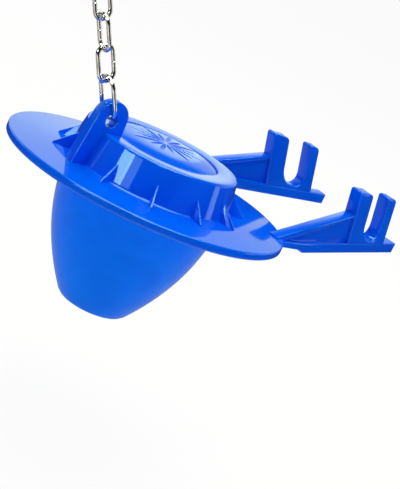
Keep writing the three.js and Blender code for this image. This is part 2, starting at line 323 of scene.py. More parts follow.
@dataclass(frozen=True)
class PlatedWire:
    """Bright plated wire with faint drawing marks and tarnish in patches."""

    name: str
    bright: Colour
    dull: Colour
    roughness: float
    metallic: float
    tarnish_size: float
    roughness_shares: Range = (0.7, 1.5)
    mark_size: float = 0.35
    mark_depth: float = 0.02
    bump_strength: float = 0.3

    def build(self) -> Material:
        """Builds the material.

        Returns:
            A metal that reads Object coordinates only.
        """
        material = bpy.data.materials.new(self.name)
        tree = Nodes(material)
        place = tree.place()
        tarnish = tree.noise(place, self.tarnish_size, 4, 0.65)
        patches = tree.remap(tarnish, (0.45, 0.7), (0.0, 1.0))
        low, high = (self.roughness * share for share in self.roughness_shares)
        marks = tree.noise(place, self.mark_size, 2, 0.5)
        shader = tree.add("ShaderNodeBsdfPrincipled", {
            "Metallic": self.metallic,
            "Base Color": tree.tinted(patches, self.bright, self.dull),
            "Roughness": tree.remap(tarnish, (0.3, 0.7), (low, high)),
            "Normal": tree.bumped(marks, self.bump_strength, self.mark_depth),
        })
        tree.output(shader.outputs["BSDF"])
        return material


GLOSSY_BLUE = MouldedPlastic(
    name="glossy_moulded_blue", colour=(0.0, 0.098, 0.85), deep_colour=(0.0, 0.08, 0.78),
    roughness=0.07, roughness_spread=0.02, specular=0.6, specular_tint=(0.55, 1.0, 1.0),
    flow_size=30, grain_size=1.1, grain_depth=0.012,
)
# The cup's blues are painted lighter than the body's: painted light, standing in for the light that falls
# on the cup from below. Its satin gloss is its own.
SATIN_BLUE_PAINTED_LIGHTER = MouldedPlastic(
    name="satin_moulded_blue", colour=(0.0, 0.16, 1.0), deep_colour=(0.0, 0.135, 0.92),
    roughness=0.2, roughness_spread=0.03, specular=0.11, specular_tint=(0.4, 0.9, 1.0),
    flow_size=24, grain_size=0.7, grain_depth=0.03,
)
BRIGHT_WIRE = PlatedWire(
    name="bright_plated_wire", bright=(0.9, 0.84, 0.83), dull=(0.5, 0.455, 0.42),
    roughness=0.1, metallic=1.0, tarnish_size=3,
)


# ---------------------------------------------------------------- geometry trees


class FieldTree(Tree):
    """A Geometry Nodes tree under construction, with named inputs."""

    def __init__(self, name: str, inputs: dict[str, float | int]) -> None:
        """Starts a tree that takes and gives geometry.

        Args:
            name: The tree's name.
            inputs: Each input's name and value. A whole number makes a whole number input.
        """
        super().__init__(bpy.data.node_groups.new(name, "GeometryNodeTree"))
        face = self.tree.interface
        face.new_socket("Geometry", in_out="INPUT", socket_type="NodeSocketGeometry")
        face.new_socket("Geometry", in_out="OUTPUT", socket_type="NodeSocketGeometry")
        self.values = inputs
        self.keys: dict[str, str] = {}
        for label, value in inputs.items():
            kind = "NodeSocketInt" if isinstance(value, int) else "NodeSocketFloat"
            self.keys[label] = face.new_socket(label, in_out="INPUT", socket_type=kind).identifier
        self.start = self.add("NodeGroupInput")
        self.end = self.add("NodeGroupOutput")

    def given(self, label: str) -> NodeSocket:
        """The named input's socket."""
        return self.start.outputs[label]

    def vector(self, x: object = 0.0, y: object = 0.0, z: object = 0.0) -> NodeSocket:
        """Joins three values into a vector.

        Args:
            x: First part.
            y: Second part.
            z: Third part.

        Returns:
            The vector.
        """
        return self.add("ShaderNodeCombineXYZ", {0: x, 1: y, 2: z}).outputs[0]

    def finish(self, geometry: NodeSocket, material: Material) -> None:
        """Ends the tree in Realize Instances and Set Material.

        Args:
            geometry: What the tree gives.
            material: The finish of all of it.
        """
        real = self.add("GeometryNodeRealizeInstances", {"Geometry": geometry}).outputs["Geometry"]
        painted = self.add("GeometryNodeSetMaterial", {"Geometry": real, "Material": material})
        self.put(painted.outputs["Geometry"], self.end.inputs["Geometry"])

    def run(self, obj: Object) -> Object:
        """Runs the tree on an object and keeps the plain mesh that comes out.

        Args:
            obj: The object whose geometry the tree takes. It is replaced.

        Returns:
            The new object, of the same name, at the origin.
        """
        modifier = obj.modifiers.new(self.tree.name, "NODES")
        modifier.node_group = self.tree
        for label, value in self.values.items():
            modifier[self.keys[label]] = value
        return settled(obj)


def settled(obj: Object) -> Object:
    """Turns an object with its modifiers into a plain mesh object.

    Args:
        obj: The object. It is removed.

    Returns:
        A mesh object of the same name, at the origin.
    """
    bpy.context.view_layer.update()
    graph = bpy.context.evaluated_depsgraph_get()
    mesh = bpy.data.meshes.new_from_object(obj.evaluated_get(graph), depsgraph=graph)
    name = obj.name
    bpy.data.objects.remove(obj)
    return placed(name, mesh)


def placed(name: str, data: bpy.types.ID) -> Object:
    """Puts data into the scene as an object at the origin.

    Args:
        name: The object's name.
        data: A mesh or a curve.

    Returns:
        The object.
    """
    data.name = name
    obj = bpy.data.objects.new(name, data)
    bpy.context.scene.collection.objects.link(obj)
    return obj


def welded(obj: Object, distance: float = WELD_DISTANCE) -> Object:
    """Merges doubled points and turns faces outwards.

    Args:
        obj: A mesh object.
        distance: How near points are to be one, in millimetres.

    Returns:
        The same object.
    """
    work = bmesh.new()
    work.from_mesh(obj.data)
    bmesh.ops.remove_doubles(work, verts=work.verts, dist=distance * MM)
    bmesh.ops.recalc_face_normals(work, faces=work.faces)
    work.to_mesh(obj.data)
    work.free()
    return obj


def joined(name: str, parts: Sequence[Object], material: Material) -> Object:
    """Joins closed forms into one piece with one finish and smooth shading.

    Args:
        name: The piece's name.
        parts: Mesh objects. They are removed.
        material: The piece's finish.

    Returns:
        The joined piece.
    """
    work = bmesh.new()
    for part in parts:
        work.from_mesh(part.data)
        bpy.data.objects.remove(part)
    mesh = bpy.data.meshes.new(name)
    work.to_mesh(mesh)
    work.free()
    for polygon in mesh.polygons:
        polygon.material_index = 0
        polygon.use_smooth = True
    mesh.materials.clear()
    mesh.materials.append(material)
    mesh.set_sharp_from_angle(angle=SMOOTH_ANGLE)
    return placed(name, mesh)


def arc(x: float, y: float, radius: float, start: float, stop: float, steps: int) -> list[Point]:
    """Points along a round corner.

    Args:
        x: Centre.
        y: Centre.
        radius: Radius.
        start: First angle in degrees.
        stop: Last angle in degrees.
        steps: Number of spans.

    Returns:
        The points, both ends included.
    """
    angles = [math.radians(start + (stop - start) * i / steps) for i in range(steps + 1)]
    return [(x + radius * math.cos(a), y + radius * math.sin(a)) for a in angles]


def held(start: Point, stop: Point, margin: float = 0.4) -> list[Point]:
    """Two points near the ends of a straight span, which keep its smooth shading flat.

    Args:
        start: Where the span starts.
        stop: Where it stops.
        margin: Their distance from its ends, in millimetres.

    Returns:
        The two points.
    """
    a, b = Vector(start), Vector(stop)
    share = margin / (b - a).length
    return [tuple(a.lerp(b, share)), tuple(a.lerp(b, 1 - share))]


def revolved(name: str, profile: Sequence[Point], steps: int) -> Object:
    """Turns a closed profile about the valve axis.

    Args:
        name: The object's name.
        profile: Radius and height of each point. A radius of 0 closes on the axis.
        steps: Spans around.

    Returns:
        A closed mesh object.
    """
    work = bmesh.new()
    rings = []
    for radius, height in profile:
        count = 1 if radius < TINY else steps
        rings.append([
            work.verts.new((
                radius * MM * math.cos(2 * math.pi * k / steps),
                radius * MM * math.sin(2 * math.pi * k / steps),
                height * MM,
            ))
            for k in range(count)
        ])
    for ring, following in zip(rings, rings[1:] + rings[:1]):
        for k in range(steps):
            corners = [
                ring[k % len(ring)], ring[(k + 1) % len(ring)],
                following[(k + 1) % len(following)], following[k % len(following)],
            ]
            unique = list(dict.fromkeys(corners))
            if len(unique) > 2:
                work.faces.new(unique)
    bmesh.ops.recalc_face_normals(work, faces=work.faces)
    mesh = bpy.data.meshes.new(name)
    work.to_mesh(mesh)
    work.free()
    return placed(name, mesh)


def plate(
    name: str, outline: Sequence[Point], thickness: float, edge: float,
    holes: Sequence[Sequence[Point]] = (),
) -> Object:
    """Makes an upright plate with rounded edges from an outline in X and Z.

    Args:
        name: The object's name.
        outline: The outline's points, along X and up Z.
        thickness: Over all, evenly about the XZ plane.
        edge: Radius of the rounded edges.
        holes: Outlines cut out of it.

    Returns:
        A closed mesh object.
    """
    curve = bpy.data.curves.new(name, "CURVE")
    curve.dimensions = "2D"
    curve.fill_mode = "BOTH"
    curve.extrude = (thickness / 2 - edge) * MM
    curve.bevel_depth = edge * MM
    curve.bevel_resolution = 2
    curve.offset = -edge * MM
    for loop in (outline, *holes):
        spline = curve.splines.new("POLY")
        spline.points.add(len(loop) - 1)
        for point, (x, z) in zip(spline.points, loop):
            point.co = (x * MM, z * MM, 0, 1)
        spline.use_cyclic_u = True
    obj = settled(placed(name, curve))
    obj.data.transform(UPRIGHT)
    return welded(obj)


# ---------------------------------------------------------------- moulded body


@dataclass
class MouldedBody:
    """The blue moulding: flange, drum, starred crown, gussets, lug, arms and ears."""

    flange_radius: float = 48
    flange_thickness: float = 2.6
    flange_edge: float = 0.6
    drum_base_radius: float = 28
    drum_top_radius: float = 26.2
    drum_height: float = 11.7
    drum_wall: float = 2.2
    drum_edge: float = 1.0
    root_fillet: float = 0.7
    crown_radius: float = 18.6
    crown_dip: float = 0.5
    crown_rise: float = 1.8
    crown_flatness: float = 5.5
    crown_skirt: float = 1.6
    crown_seat_depth: float = 0.6
    crown_gap: float = 0.3
    rim_lip: float = 0.4
    crown_rings: int = 56
    spans_per_ray: int = 18
    star_rays: int = 16
    star_inner: float = 1.0
    star_outer: float = 13.6
    star_short_share: float = 0.78
    star_half_width: float = 0.7
    star_depth: float = 0.75
    seat_radius: float = 28.0
    seat_recess: float = 0.4
    gusset_angles: tuple[float, ...] = (0, 34, 67, 96, 125.5, 155)
    gusset_thickness: float = 1.2
    gusset_reach: float = 5.6
    gusset_height: float = 5.6
    gusset_top_reach: float = 0.35
    gusset_least_ridge: float = 0.3
    gusset_edge: float = 0.2
    gusset_foot_share: float = 1.15
    gusset_ridge_share: float = 0.5
    lug_thickness: float = 3.5
    lug_eye_x: float = -25.3
    lug_eye_height: float = 16
    lug_eye_radius: float = 5.8
    lug_hole_radius: float = 2.2
    lug_hole_drop: float = 0.5
    lug_foot_x: float = -33.4
    lug_drum_x: float = -19.2
    lug_edge: float = 0.35
    hole_sides: int = 32
    arm_offset: float = 26.2
    arm_toe_in: float = 6.9
    arm_rise: float = 5.5
    arm_root: float = -14
    arm_length: float = 55
    strip_width: float = 5.4
    strip_drop: float = 1.1
    strip_edge: float = 0.35
    web_thickness: float = 2.4
    web_edge: float = 0.2
    border_width: float = 4.2
    border_edge: float = 0.5
    border_depth: float = 1.3
    web_root_height: float = 0.4
    web_ear_height: float = 13
    ear_start: float = 22
    ear_lean: float = 20
    ear_height: float = 21.5
    ear_edge: float = 0.45
    front_prong: float = 7.4
    slot_width: float = 10.4
    slot_floor: float = 4.6
    rear_prong: float = 4.8
    prong_round: float = 1.2
    turns: int = 288
    sunk: float = 1.0
    lap: float = 0.2
    parts: list[Object] = field(default_factory=list)

    @property
    def top(self) -> float:
        """Height of the flange's upper face."""
        return self.flange_thickness

    @property
    def rim(self) -> float:
        """Height of the drum's flat rim."""
        return self.top + self.drum_height

    def build_shell(self) -> None:
        """Makes the flange and the hollow drum as one turned form, with a seat for the crown."""
        edge, wall = self.flange_edge, self.drum_wall
        seat = self.rim - self.crown_dip - self.crown_seat_depth
        gap = self.crown_gap
        root, corner = self.root_fillet, self.drum_edge
        foot = arc(self.drum_base_radius + root, self.top + root, root, 270, 190, 4)
        brow = arc(self.drum_top_radius - corner, self.rim - corner, corner, 10, 90, 8)
        profile = [
            (self.drum_base_radius - wall, self.seat_recess),
            (self.seat_radius, self.seat_recess), (self.seat_radius + self.seat_recess, 0.0),
            *arc(self.flange_radius - edge, edge, edge, -90, 0, 5),
            *arc(self.flange_radius - edge, self.top - edge, edge, 0, 90, 5),
            *foot, *held(foot[-1], brow[0]), *brow,
            *arc(self.crown_radius + gap + self.rim_lip, self.rim - gap, gap, 90, 180, 3),
            (self.crown_radius + gap, seat),
            (0.0, seat),
            (0.0, seat - wall),
            (self.drum_top_radius - wall, seat - wall),
        ]
        self.parts.append(revolved("drum_shell", profile, self.turns))

    def build_crown(self, material: Material) -> None:
        """Makes the low dome with its star of grooves, by a rule over a flat disc.

        Args:
            material: The body's finish.
        """
        radius, rings = self.crown_radius, self.crown_rings
        flat = [(radius * i / rings, 0.0) for i in range(rings + 1)]
        skirt = -self.crown_rise - self.crown_skirt
        spans = self.star_rays * self.spans_per_ray
        disc = revolved("crown", [*flat, (radius, skirt), (0.0, skirt)], spans)
        tree = FieldTree("starred_crown", {
            "Radius": radius * MM, "Rise": self.crown_rise * MM, "Flatness": self.crown_flatness,
            "Rays": self.star_rays, "Star inner": self.star_inner * MM, "Star outer": self.star_outer * MM,
            "Short share": self.star_short_share, "Half width": self.star_half_width * MM,
            "Depth": self.star_depth * MM, "Foot": (self.rim - self.crown_dip) * MM,
        })
        x, y, z = tree.split(tree.add("GeometryNodeInputPosition").outputs[0])
        reach = tree.math("SQRT", tree.plus(tree.times(x, x), tree.times(y, y)))
        fall = tree.math("POWER", tree.over(reach, tree.given("Radius")), tree.given("Flatness"))
        dome = tree.times(tree.given("Rise"), tree.minus(1.0, fall))

        turn = tree.over(tree.math("ARCTAN2", y, x), FULL_TURN)
        along = tree.plus(tree.times(turn, tree.given("Rays")), 0.5)
        index = tree.math("FLOOR", along)
        odd = tree.math("FLOORED_MODULO", index, 2.0)
        off_middle = tree.math("ABSOLUTE", tree.minus(tree.minus(along, index), 0.5))
        across = tree.times(off_middle, tree.over(tree.times(reach, FULL_TURN), tree.given("Rays")))
        lost = tree.times(odd, tree.minus(1.0, tree.given("Short share")))
        outer = tree.times(tree.given("Star outer"), tree.minus(1.0, lost))
        inner = tree.given("Star inner")
        run = tree.over(tree.minus(reach, inner), tree.minus(outer, inner))
        run = tree.math("MINIMUM", tree.larger(run, 0.0), 1.0)
        belly = tree.times(4.0, tree.times(run, tree.minus(1.0, run)))
        width = tree.plus(tree.times(tree.given("Half width"), belly), TINY)
        inside = tree.larger(tree.minus(1.0, tree.over(across, width)), 0.0)
        cut = tree.times(tree.given("Depth"), tree.times(belly, tree.math("SQRT", inside)))

        on_top = tree.math("GREATER_THAN", z, skirt * MM / 2)
        lifted = tree.times(on_top, tree.minus(dome, cut))
        move = tree.add("GeometryNodeSetPosition", {
            "Geometry": tree.start.outputs["Geometry"],
            "Offset": tree.vector(0.0, 0.0, tree.plus(lifted, tree.given("Foot"))),
        })
        tree.finish(move.outputs["Geometry"], material)
        self.parts.append(tree.run(disc))

    def build_gussets(self, material: Material) -> None:
        """Makes the ring of thin gussets between drum wall and flange.

        The base points carry each gusset's angle, and the tree sets one on each.

        Args:
            material: The body's finish.
        """
        slope = (self.drum_base_radius - self.drum_top_radius) / self.drum_height
        wall = self.drum_base_radius - slope * self.gusset_height
        foot = self.drum_base_radius + self.gusset_reach
        gusset = plate("gusset", [
            (self.drum_base_radius - self.sunk, self.top - self.sunk),
            (foot, self.top - self.sunk),
            (foot, self.top + self.gusset_top_reach),
            (wall + self.gusset_top_reach, self.top + self.gusset_height),
            (wall - self.sunk, self.top + self.gusset_height + self.gusset_top_reach / 2),
        ], self.gusset_thickness, self.gusset_edge)
        taper = self.gusset_ridge_share - self.gusset_foot_share
        for point in gusset.data.vertices:
            x, height = point.co.x / MM, point.co.z / MM - self.top
            ridge = self.gusset_height + (wall - x) * self.gusset_height / self.gusset_reach
            share = min(max(height / max(ridge, self.gusset_least_ridge), 0.0), 1.0)
            point.co.y *= self.gusset_foot_share + taper * share
        angles = [math.radians(side * a) for a in self.gusset_angles for side in ((-1, 1) if a else (1,))]
        points = bpy.data.meshes.new("gussets")
        points.from_pydata([(0, 0, 0)] * len(angles), [], [])
        points.attributes.new("turn", "FLOAT", "POINT").data.foreach_set("value", angles)

        tree = FieldTree("gusset_ring", {"Size": 1.0})
        shape = tree.add("GeometryNodeObjectInfo", {"Object": gusset})
        turn = tree.add("GeometryNodeInputNamedAttribute", {"Name": "turn"}, data_type="FLOAT")
        size = tree.given("Size")
        copies = tree.add("GeometryNodeInstanceOnPoints", {
            "Points": tree.start.outputs["Geometry"], "Instance": shape.outputs["Geometry"],
            "Rotation": tree.vector(0.0, 0.0, turn.outputs["Attribute"]),
            "Scale": tree.vector(size, size, size),
        })
        tree.finish(copies.outputs["Instances"], material)
        self.parts.append(tree.run(placed("gussets", points)))
        bpy.data.objects.remove(gusset)

    def build_lug(self) -> None:
        """Makes the lift lug: a plate up the drum wall with a round eye."""
        eye = Vector((self.lug_eye_x, self.top + self.lug_eye_height))
        radius = self.lug_eye_radius
        foot = Vector((self.lug_foot_x, self.top)) - eye
        drum = Vector((self.lug_drum_x, self.rim)) - eye
        start, stop = (
            math.degrees(math.atan2(to.y, to.x) % FULL_TURN + side * math.acos(radius / to.length))
            for to, side in ((foot, -1), (drum, 1))
        )
        outline = [
            (self.lug_foot_x, self.top - self.sunk),
            (self.lug_foot_x, self.top),
            *arc(eye.x, eye.y, radius, start, stop - 360, 28),
            (self.lug_drum_x, self.rim - self.sunk),
            (self.lug_eye_x + self.sunk, self.rim - self.sunk),
            (self.sunk - self.drum_base_radius, self.top - self.sunk),
        ]
        last = 360 - 360 / self.hole_sides
        hole = arc(eye.x, eye.y - self.lug_hole_drop, self.lug_hole_radius, 0, last, self.hole_sides - 1)
        self.parts.append(plate("lug", outline, self.lug_thickness, self.lug_edge, [hole]))

    def build_arms(self) -> None:
        """Makes both arms with their forked ears, toed in towards the mid plane."""
        for side in (-1, 1):
            for piece in self.arm_pieces():
                turn = Matrix.Rotation(math.radians(-side * self.arm_toe_in), 4, "Z")
                shift = Matrix.Translation(Vector((self.flange_radius, side * self.arm_offset, 0)) * MM)
                piece.data.transform(shift @ turn)
                self.parts.append(piece)

    def arm_pieces(self) -> list[Object]:
        """Makes one arm along X, measured from the flange's radius.

        Returns:
            The strip, the recessed web, its border and the ear.
        """
        rise = math.tan(math.radians(self.arm_rise))
        length, drop, foot = self.arm_length, self.strip_drop, self.top - self.sunk
        strip = [
            (self.arm_root, self.lap), (0.0, 0.0), (2 * drop, 2 * drop * rise - drop),
            (length, length * rise - drop), (length, self.top + length * rise),
            (0.0, self.top), (self.arm_root, self.top - self.lap),
        ]
        behind = self.ear_start + self.front_prong / 2
        crest = self.top + self.web_ear_height
        low = crest - self.border_depth
        low_x = self.ear_start + self.border_depth * math.tan(math.radians(self.ear_lean))
        root = self.top + self.web_root_height
        web = [
            (self.arm_root, foot), (self.arm_root, root - self.lap), (self.ear_start, crest - self.lap),
            (behind, crest - self.web_ear_height / 2), (behind, foot), (0.0, foot),
        ]
        border = [
            (self.arm_root, foot), (self.arm_root, root), (self.ear_start, crest), (behind, crest),
            (behind, low), (low_x, low), (self.arm_root + 2 * self.border_depth, foot),
        ]
        return [
            plate("arm_strip", strip, self.strip_width, self.strip_edge),
            plate("arm_web", web, self.web_thickness, self.web_edge),
            plate("arm_border", border, self.border_width, self.border_edge),
            plate("arm_ear", self.ear_outline(), self.strip_width - self.lap / 2, self.ear_edge),
        ]

    def ear_outline(self) -> list[Point]:
        """The forked ear's outline, leaning back over the flange.

        Returns:
            Its points in X and Z.
        """
        lean = math.tan(math.radians(self.ear_lean))
        rise = math.tan(math.radians(self.arm_rise))

        def leant(x: float, z: float) -> Point:
            """A point of the upright ear, leant back."""
            return (x + (self.web_ear_height - z) * lean, self.top + z)

        def foot(x: float) -> Point:
            """Where an edge of the ear meets the strip, a little inside it."""
            z = (x + self.web_ear_height * lean) * rise / (1 + rise * lean)
            return (x + (self.web_ear_height - z) * lean, self.top + z - self.sunk)

        def prong(start: float, stop: float) -> list[Point]:
            """A prong's rounded top."""
            r = self.prong_round
            left = arc(start + r, self.ear_height - r, r, 180, 90, 5)
            right = arc(stop - r, self.ear_height - r, r, 90, 0, 5)
            return [leant(x, z) for x, z in (*left, *right)]

        front, slot = self.ear_start, self.ear_start + self.front_prong
        rear = slot + self.slot_width
        half = self.slot_width / 2
        cradle = arc(slot + half, self.slot_floor + half, half, 180, 360, 14)
        return [
            foot(front), *prong(front, slot), *[leant(x, z) for x, z in cradle],
            *prong(rear, rear + self.rear_prong), foot(rear + self.rear_prong),
        ]

    def dress(self, finish: MouldedPlastic) -> Object:
        """Builds the whole moulding as one piece.

        Args:
            finish: Its plastic.

        Returns:
            The piece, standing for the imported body.
        """
        material = finish.build()
        self.build_shell()
        self.build_crown(material)
        self.build_gussets(material)
        self.build_lug()
        self.build_arms()
        piece = joined("flapper_moulding", self.parts, material)
        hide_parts("flapper_body")
        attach(piece, ROOT)
        return piece


# ---------------------------------------------------------------- float cup


@dataclass
class FloatCup:
    """The thin bullet shaped cup under the flange."""

    top_radius: float = 27.2
    base_radius: float = 11.6
    depth: float = 43.1
    bulge: float = 16
    wall: float = 1.6
    base_round: float = 0.7
    neck_radius: float = 24.0
    neck_height: float = 4
    bleed_radius: float = 2
    bleed_edge: float = 0.3
    shoulder: float = 0.1
    rings: int = 40
    turns: int = 192

    def radius(self, share: float) -> float:
        """Outer radius at a share of the depth."""
        return self.top_radius * (1 - share) + self.base_radius * share + self.bulge * share * (1 - share)

    def dress(self, finish: MouldedPlastic) -> Object:
        """Builds the cup.

        Args:
            finish: Its plastic.

        Returns:
            The piece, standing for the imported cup.
        """
        shoulder, lip, corner = self.shoulder, self.bleed_edge, self.base_round
        lowest = shoulder - self.depth
        shares = [i / self.rings for i in range(self.rings)]
        outer = [(self.radius(share), shoulder - self.depth * share) for share in shares]
        inner = [(r - self.wall, z) for r, z in reversed(outer[1:]) if z > lowest + self.wall]
        profile = [
            (self.neck_radius, self.neck_height), (self.neck_radius, shoulder), *outer,
            *arc(self.base_radius - corner, lowest + corner, corner, -20, -90, 4),
            *arc(self.bleed_radius + lip, lowest + lip, lip, 270, 180, 3),
            (self.bleed_radius, lowest + self.wall), (self.base_radius - self.wall, lowest + self.wall),
            *inner, (self.neck_radius - self.wall, shoulder - self.wall),
            (self.neck_radius - self.wall, self.neck_height),
        ]
        material = finish.build()
        piece = joined("float_cup_shell", [revolved("float_cup_shell", profile, self.turns)], material)
        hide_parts("float_cup")
        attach(piece, ROOT)
        return piece


# ---------------------------------------------------------------- lift chain


@dataclass
class LiftChain:
    """The taut chain of wire links, from the lug's eye to its end clip."""

    wire_radius: float = 0.67
    link_length: float = 12.45
    link_width: float = 6.6
    long_length: float = 14.7
    long_width: float = 8.4
    plain_links: int = 3
    clearance: float = 0.12
    lean: float = -0.475
    sway: float = 0.1
    clip_length: float = 17
    clip_width: float = 8
    clip_wire_radius: float = 0.8
    clip_mouth: float = 62
    clip_steps: int = 40
    eye: tuple[float, float, float] = (-25.3, 0, 18.1)
    eye_radius: float = 2.2
    wire_sides: int = 20
    bow_steps: int = 18
    path_points: int = 180
    joint_gap: float = 0.16
    joint_depth: float = 0.34
    bow_share: float = 0.999

    @property
    def bearing(self) -> float:
        """Distance between the wire centres of two links that bear on each other."""
        return 2 * self.wire_radius + self.clearance

    def pull(self, distance: float, quarter: int) -> Matrix:
        """Where a piece of the chain goes.

        Args:
            distance: How far up the chain its lowest wire centre is.
            quarter: Quarter turns about the chain.

        Returns:
            The matrix from an upright piece at the origin.
        """
        way = Vector((self.lean, self.sway, 0))
        way.z = math.sqrt(1 - way.length_squared)
        turn = Vector((0, 0, 1)).rotation_difference(way)
        spin = Quaternion((0, 0, 1), quarter * QUARTER_TURN)
        place = (Vector(self.eye) + way * distance) * MM
        return Matrix.Translation(place) @ (turn @ spin).to_matrix().to_4x4()

    def link_tree(
        self, name: str, length: float, width: float, count: int, finish: Material
    ) -> FieldTree:
        """A tree that sweeps wire round an oval and stacks links, each a quarter turned.

        Args:
            name: The tree's name.
            length: Over the wire.
            width: Over the wire.
            count: Number of links.
            finish: The wire's material.

        Returns:
            The tree, ready to run.
        """
        tree = FieldTree(name, {
            "Length": length * MM, "Width": width * MM, "Wire radius": self.wire_radius * MM,
            "Pitch": (length - 2 * self.wire_radius - self.bearing) * MM, "Count": count,
            "Joint gap": self.joint_gap * MM, "Joint depth": self.joint_depth,
        })
        radius = tree.given("Wire radius")
        double = tree.times(radius, 2.0)
        high = tree.minus(tree.given("Length"), double)
        frame = tree.add("GeometryNodeCurvePrimitiveQuadrilateral", {
            "Width": tree.minus(tree.given("Width"), double), "Height": high,
        })
        bow = tree.minus(tree.over(tree.given("Width"), 2.0), radius)
        rounded = tree.add("GeometryNodeFilletCurve", {
            "Curve": frame.outputs["Curve"], "Radius": tree.times(bow, self.bow_share),
            "Count": self.bow_steps,
        }, mode="POLY")
        path = tree.add("GeometryNodeResampleCurve", {
            "Curve": rounded.outputs["Curve"], "Count": self.path_points,
        })

        x, y, _ = tree.split(tree.add("GeometryNodeInputPosition").outputs[0])
        near = tree.over(y, tree.given("Joint gap"))
        notch = tree.math("EXPONENT", tree.times(tree.times(near, near), -1.0))
        one_side = tree.math("GREATER_THAN", x, 0.0)
        thinner = tree.times(tree.given("Joint depth"), tree.times(notch, one_side))
        wire = tree.add("GeometryNodeCurvePrimitiveCircle", {
            "Resolution": self.wire_sides, "Radius": radius,
        })
        sweep = tree.add("GeometryNodeCurveToMesh", {
            "Curve": path.outputs["Curve"], "Profile Curve": wire.outputs["Curve"],
            "Scale": tree.minus(1.0, thinner),
        })
        smooth = tree.add("GeometryNodeSetShadeSmooth", {0: sweep.outputs["Mesh"]})

        line = tree.add("GeometryNodeMeshLine", {
            "Count": tree.given("Count"), "Start Location": tree.vector(0.0, 0.0, tree.over(high, 2.0)),
            "Offset": tree.vector(0.0, 0.0, tree.given("Pitch")),
        })
        turn = tree.times(tree.add("GeometryNodeInputIndex").outputs[0], QUARTER_TURN)
        copies = tree.add("GeometryNodeInstanceOnPoints", {
            "Points": line.outputs["Mesh"], "Instance": smooth.outputs[0],
            "Rotation": tree.vector(QUARTER_TURN, 0.0, turn),
        })
        tree.finish(copies.outputs["Instances"], finish)
        return tree

    def build_links(
        self, name: str, length: float, width: float, count: int, start: tuple[float, int],
        finish: Material, nodes: Sequence[str],
    ) -> Object:
        """Builds a run of links and puts it on the chain.

        Args:
            name: The piece's name.
            length: Each link's length.
            width: Each link's width.
            count: Number of links.
            start: How far up the chain, and the first link's quarter turns.
            finish: The wire's material.
            nodes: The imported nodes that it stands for.

        Returns:
            The piece.
        """
        seed = placed(name, bpy.data.meshes.new(name))
        run = self.link_tree(name, length, width, count, finish).run(seed)
        run.data.transform(self.pull(*start))
        piece = joined(name, [welded(run)], finish)
        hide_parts(*nodes)
        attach(piece, ROOT)
        return piece

    def build_clip(self, distance: float, quarter: int, finish: Material) -> Object:
        """Builds the open end clip.

        Args:
            distance: How far up the chain it hangs.
            quarter: Quarter turns about the chain.
            finish: The wire's material.

        Returns:
            The piece.
        """
        bow = self.clip_width / 2 - self.clip_wire_radius
        reach = self.clip_length - 2 * self.clip_wire_radius - bow
        path = [
            *arc(0, bow, bow, 90 + self.clip_mouth, 360, self.clip_steps),
            *arc(0, reach, bow, 0, 180 + self.clip_mouth / 2, self.clip_steps),
        ]
        curve = bpy.data.curves.new("clip_path", "CURVE")
        curve.dimensions = "3D"
        spline = curve.splines.new("POLY")
        spline.points.add(len(path) - 1)
        for point, (x, z) in zip(spline.points, path):
            point.co = (x * MM, 0, z * MM, 1)
        tree = FieldTree("clip_wire", {
            "Wire radius": self.clip_wire_radius * MM, "Sides": self.wire_sides,
        })
        circle = tree.add("GeometryNodeCurvePrimitiveCircle", {
            "Radius": tree.given("Wire radius"), "Resolution": tree.given("Sides"),
        })
        sweep = tree.add("GeometryNodeCurveToMesh", {
            "Curve": tree.start.outputs["Geometry"], "Profile Curve": circle.outputs["Curve"],
            "Fill Caps": True,
        })
        tree.finish(sweep.outputs["Mesh"], finish)
        run = tree.run(placed("end_clip", curve))
        run.data.transform(self.pull(distance, quarter))
        piece = joined("end_clip", [welded(run)], finish)
        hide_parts("chain_end_clip")
        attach(piece, ROOT)
        return piece

    def dress(self, finish: PlatedWire) -> list[Object]:
        """Builds the chain from the lug up.

        Args:
            finish: Its wire.

        Returns:
            The pieces.
        """
        wire = finish.build()
        along = self.eye_radius - self.wire_radius - self.clearance - self.bearing / 2
        pieces = [self.build_links(
            "lug_link", self.long_length, self.long_width, 1, (along, 1), wire, ["chain_lug_link"])]
        along += self.long_length - 2 * self.wire_radius - self.bearing
        nodes = [f"chain_link_{i + 1}" for i in range(self.plain_links)]
        pieces.append(self.build_links(
            "plain_links", self.link_length, self.link_width, self.plain_links, (along, 0), wire, nodes))
        along += self.plain_links * (self.link_length - 2 * self.wire_radius - self.bearing)
        drop = self.clip_wire_radius - self.wire_radius
        pieces.append(self.build_clip(along - drop, self.plain_links % 2, wire))
        return pieces


# ---------------------------------------------------------------- stage


class Role(Enum):
    """What a lamp does: it lights surfaces, or it shows in glossy ones."""

    LIGHT = "light"
    MIRROR = "mirror"


@dataclass(frozen=True)
class Lamp:
    """A soft box: where it stands as seen from the part, how big and how strong."""

    name: str
    azimuth: float
    elevation: float
    distance: float
    width: float
    height: float
    power: float
    role: Role = Role.LIGHT
    tint: Colour = WHITE

    def build(self, aim: Vector) -> None:
        """Sets the lamp up.

        Args:
            aim: The point that it faces.
        """
        light = bpy.data.lights.new(self.name, "AREA")
        light.shape = "RECTANGLE"
        light.size = self.width
        light.size_y = self.height
        light.energy = self.power
        light.color = self.tint
        obj = bpy.data.objects.new(self.name, light)
        az, el = math.radians(self.azimuth), math.radians(self.elevation)
        way = Vector((math.cos(az) * math.cos(el), math.sin(az) * math.cos(el), math.sin(el)))
        obj.location = aim + way * self.distance
        obj.rotation_euler = (-way).to_track_quat("-Z", "Y").to_euler()
        obj.visible_glossy = self.role is Role.MIRROR
        obj.visible_diffuse = self.role is Role.LIGHT
        bpy.context.scene.collection.objects.link(obj)


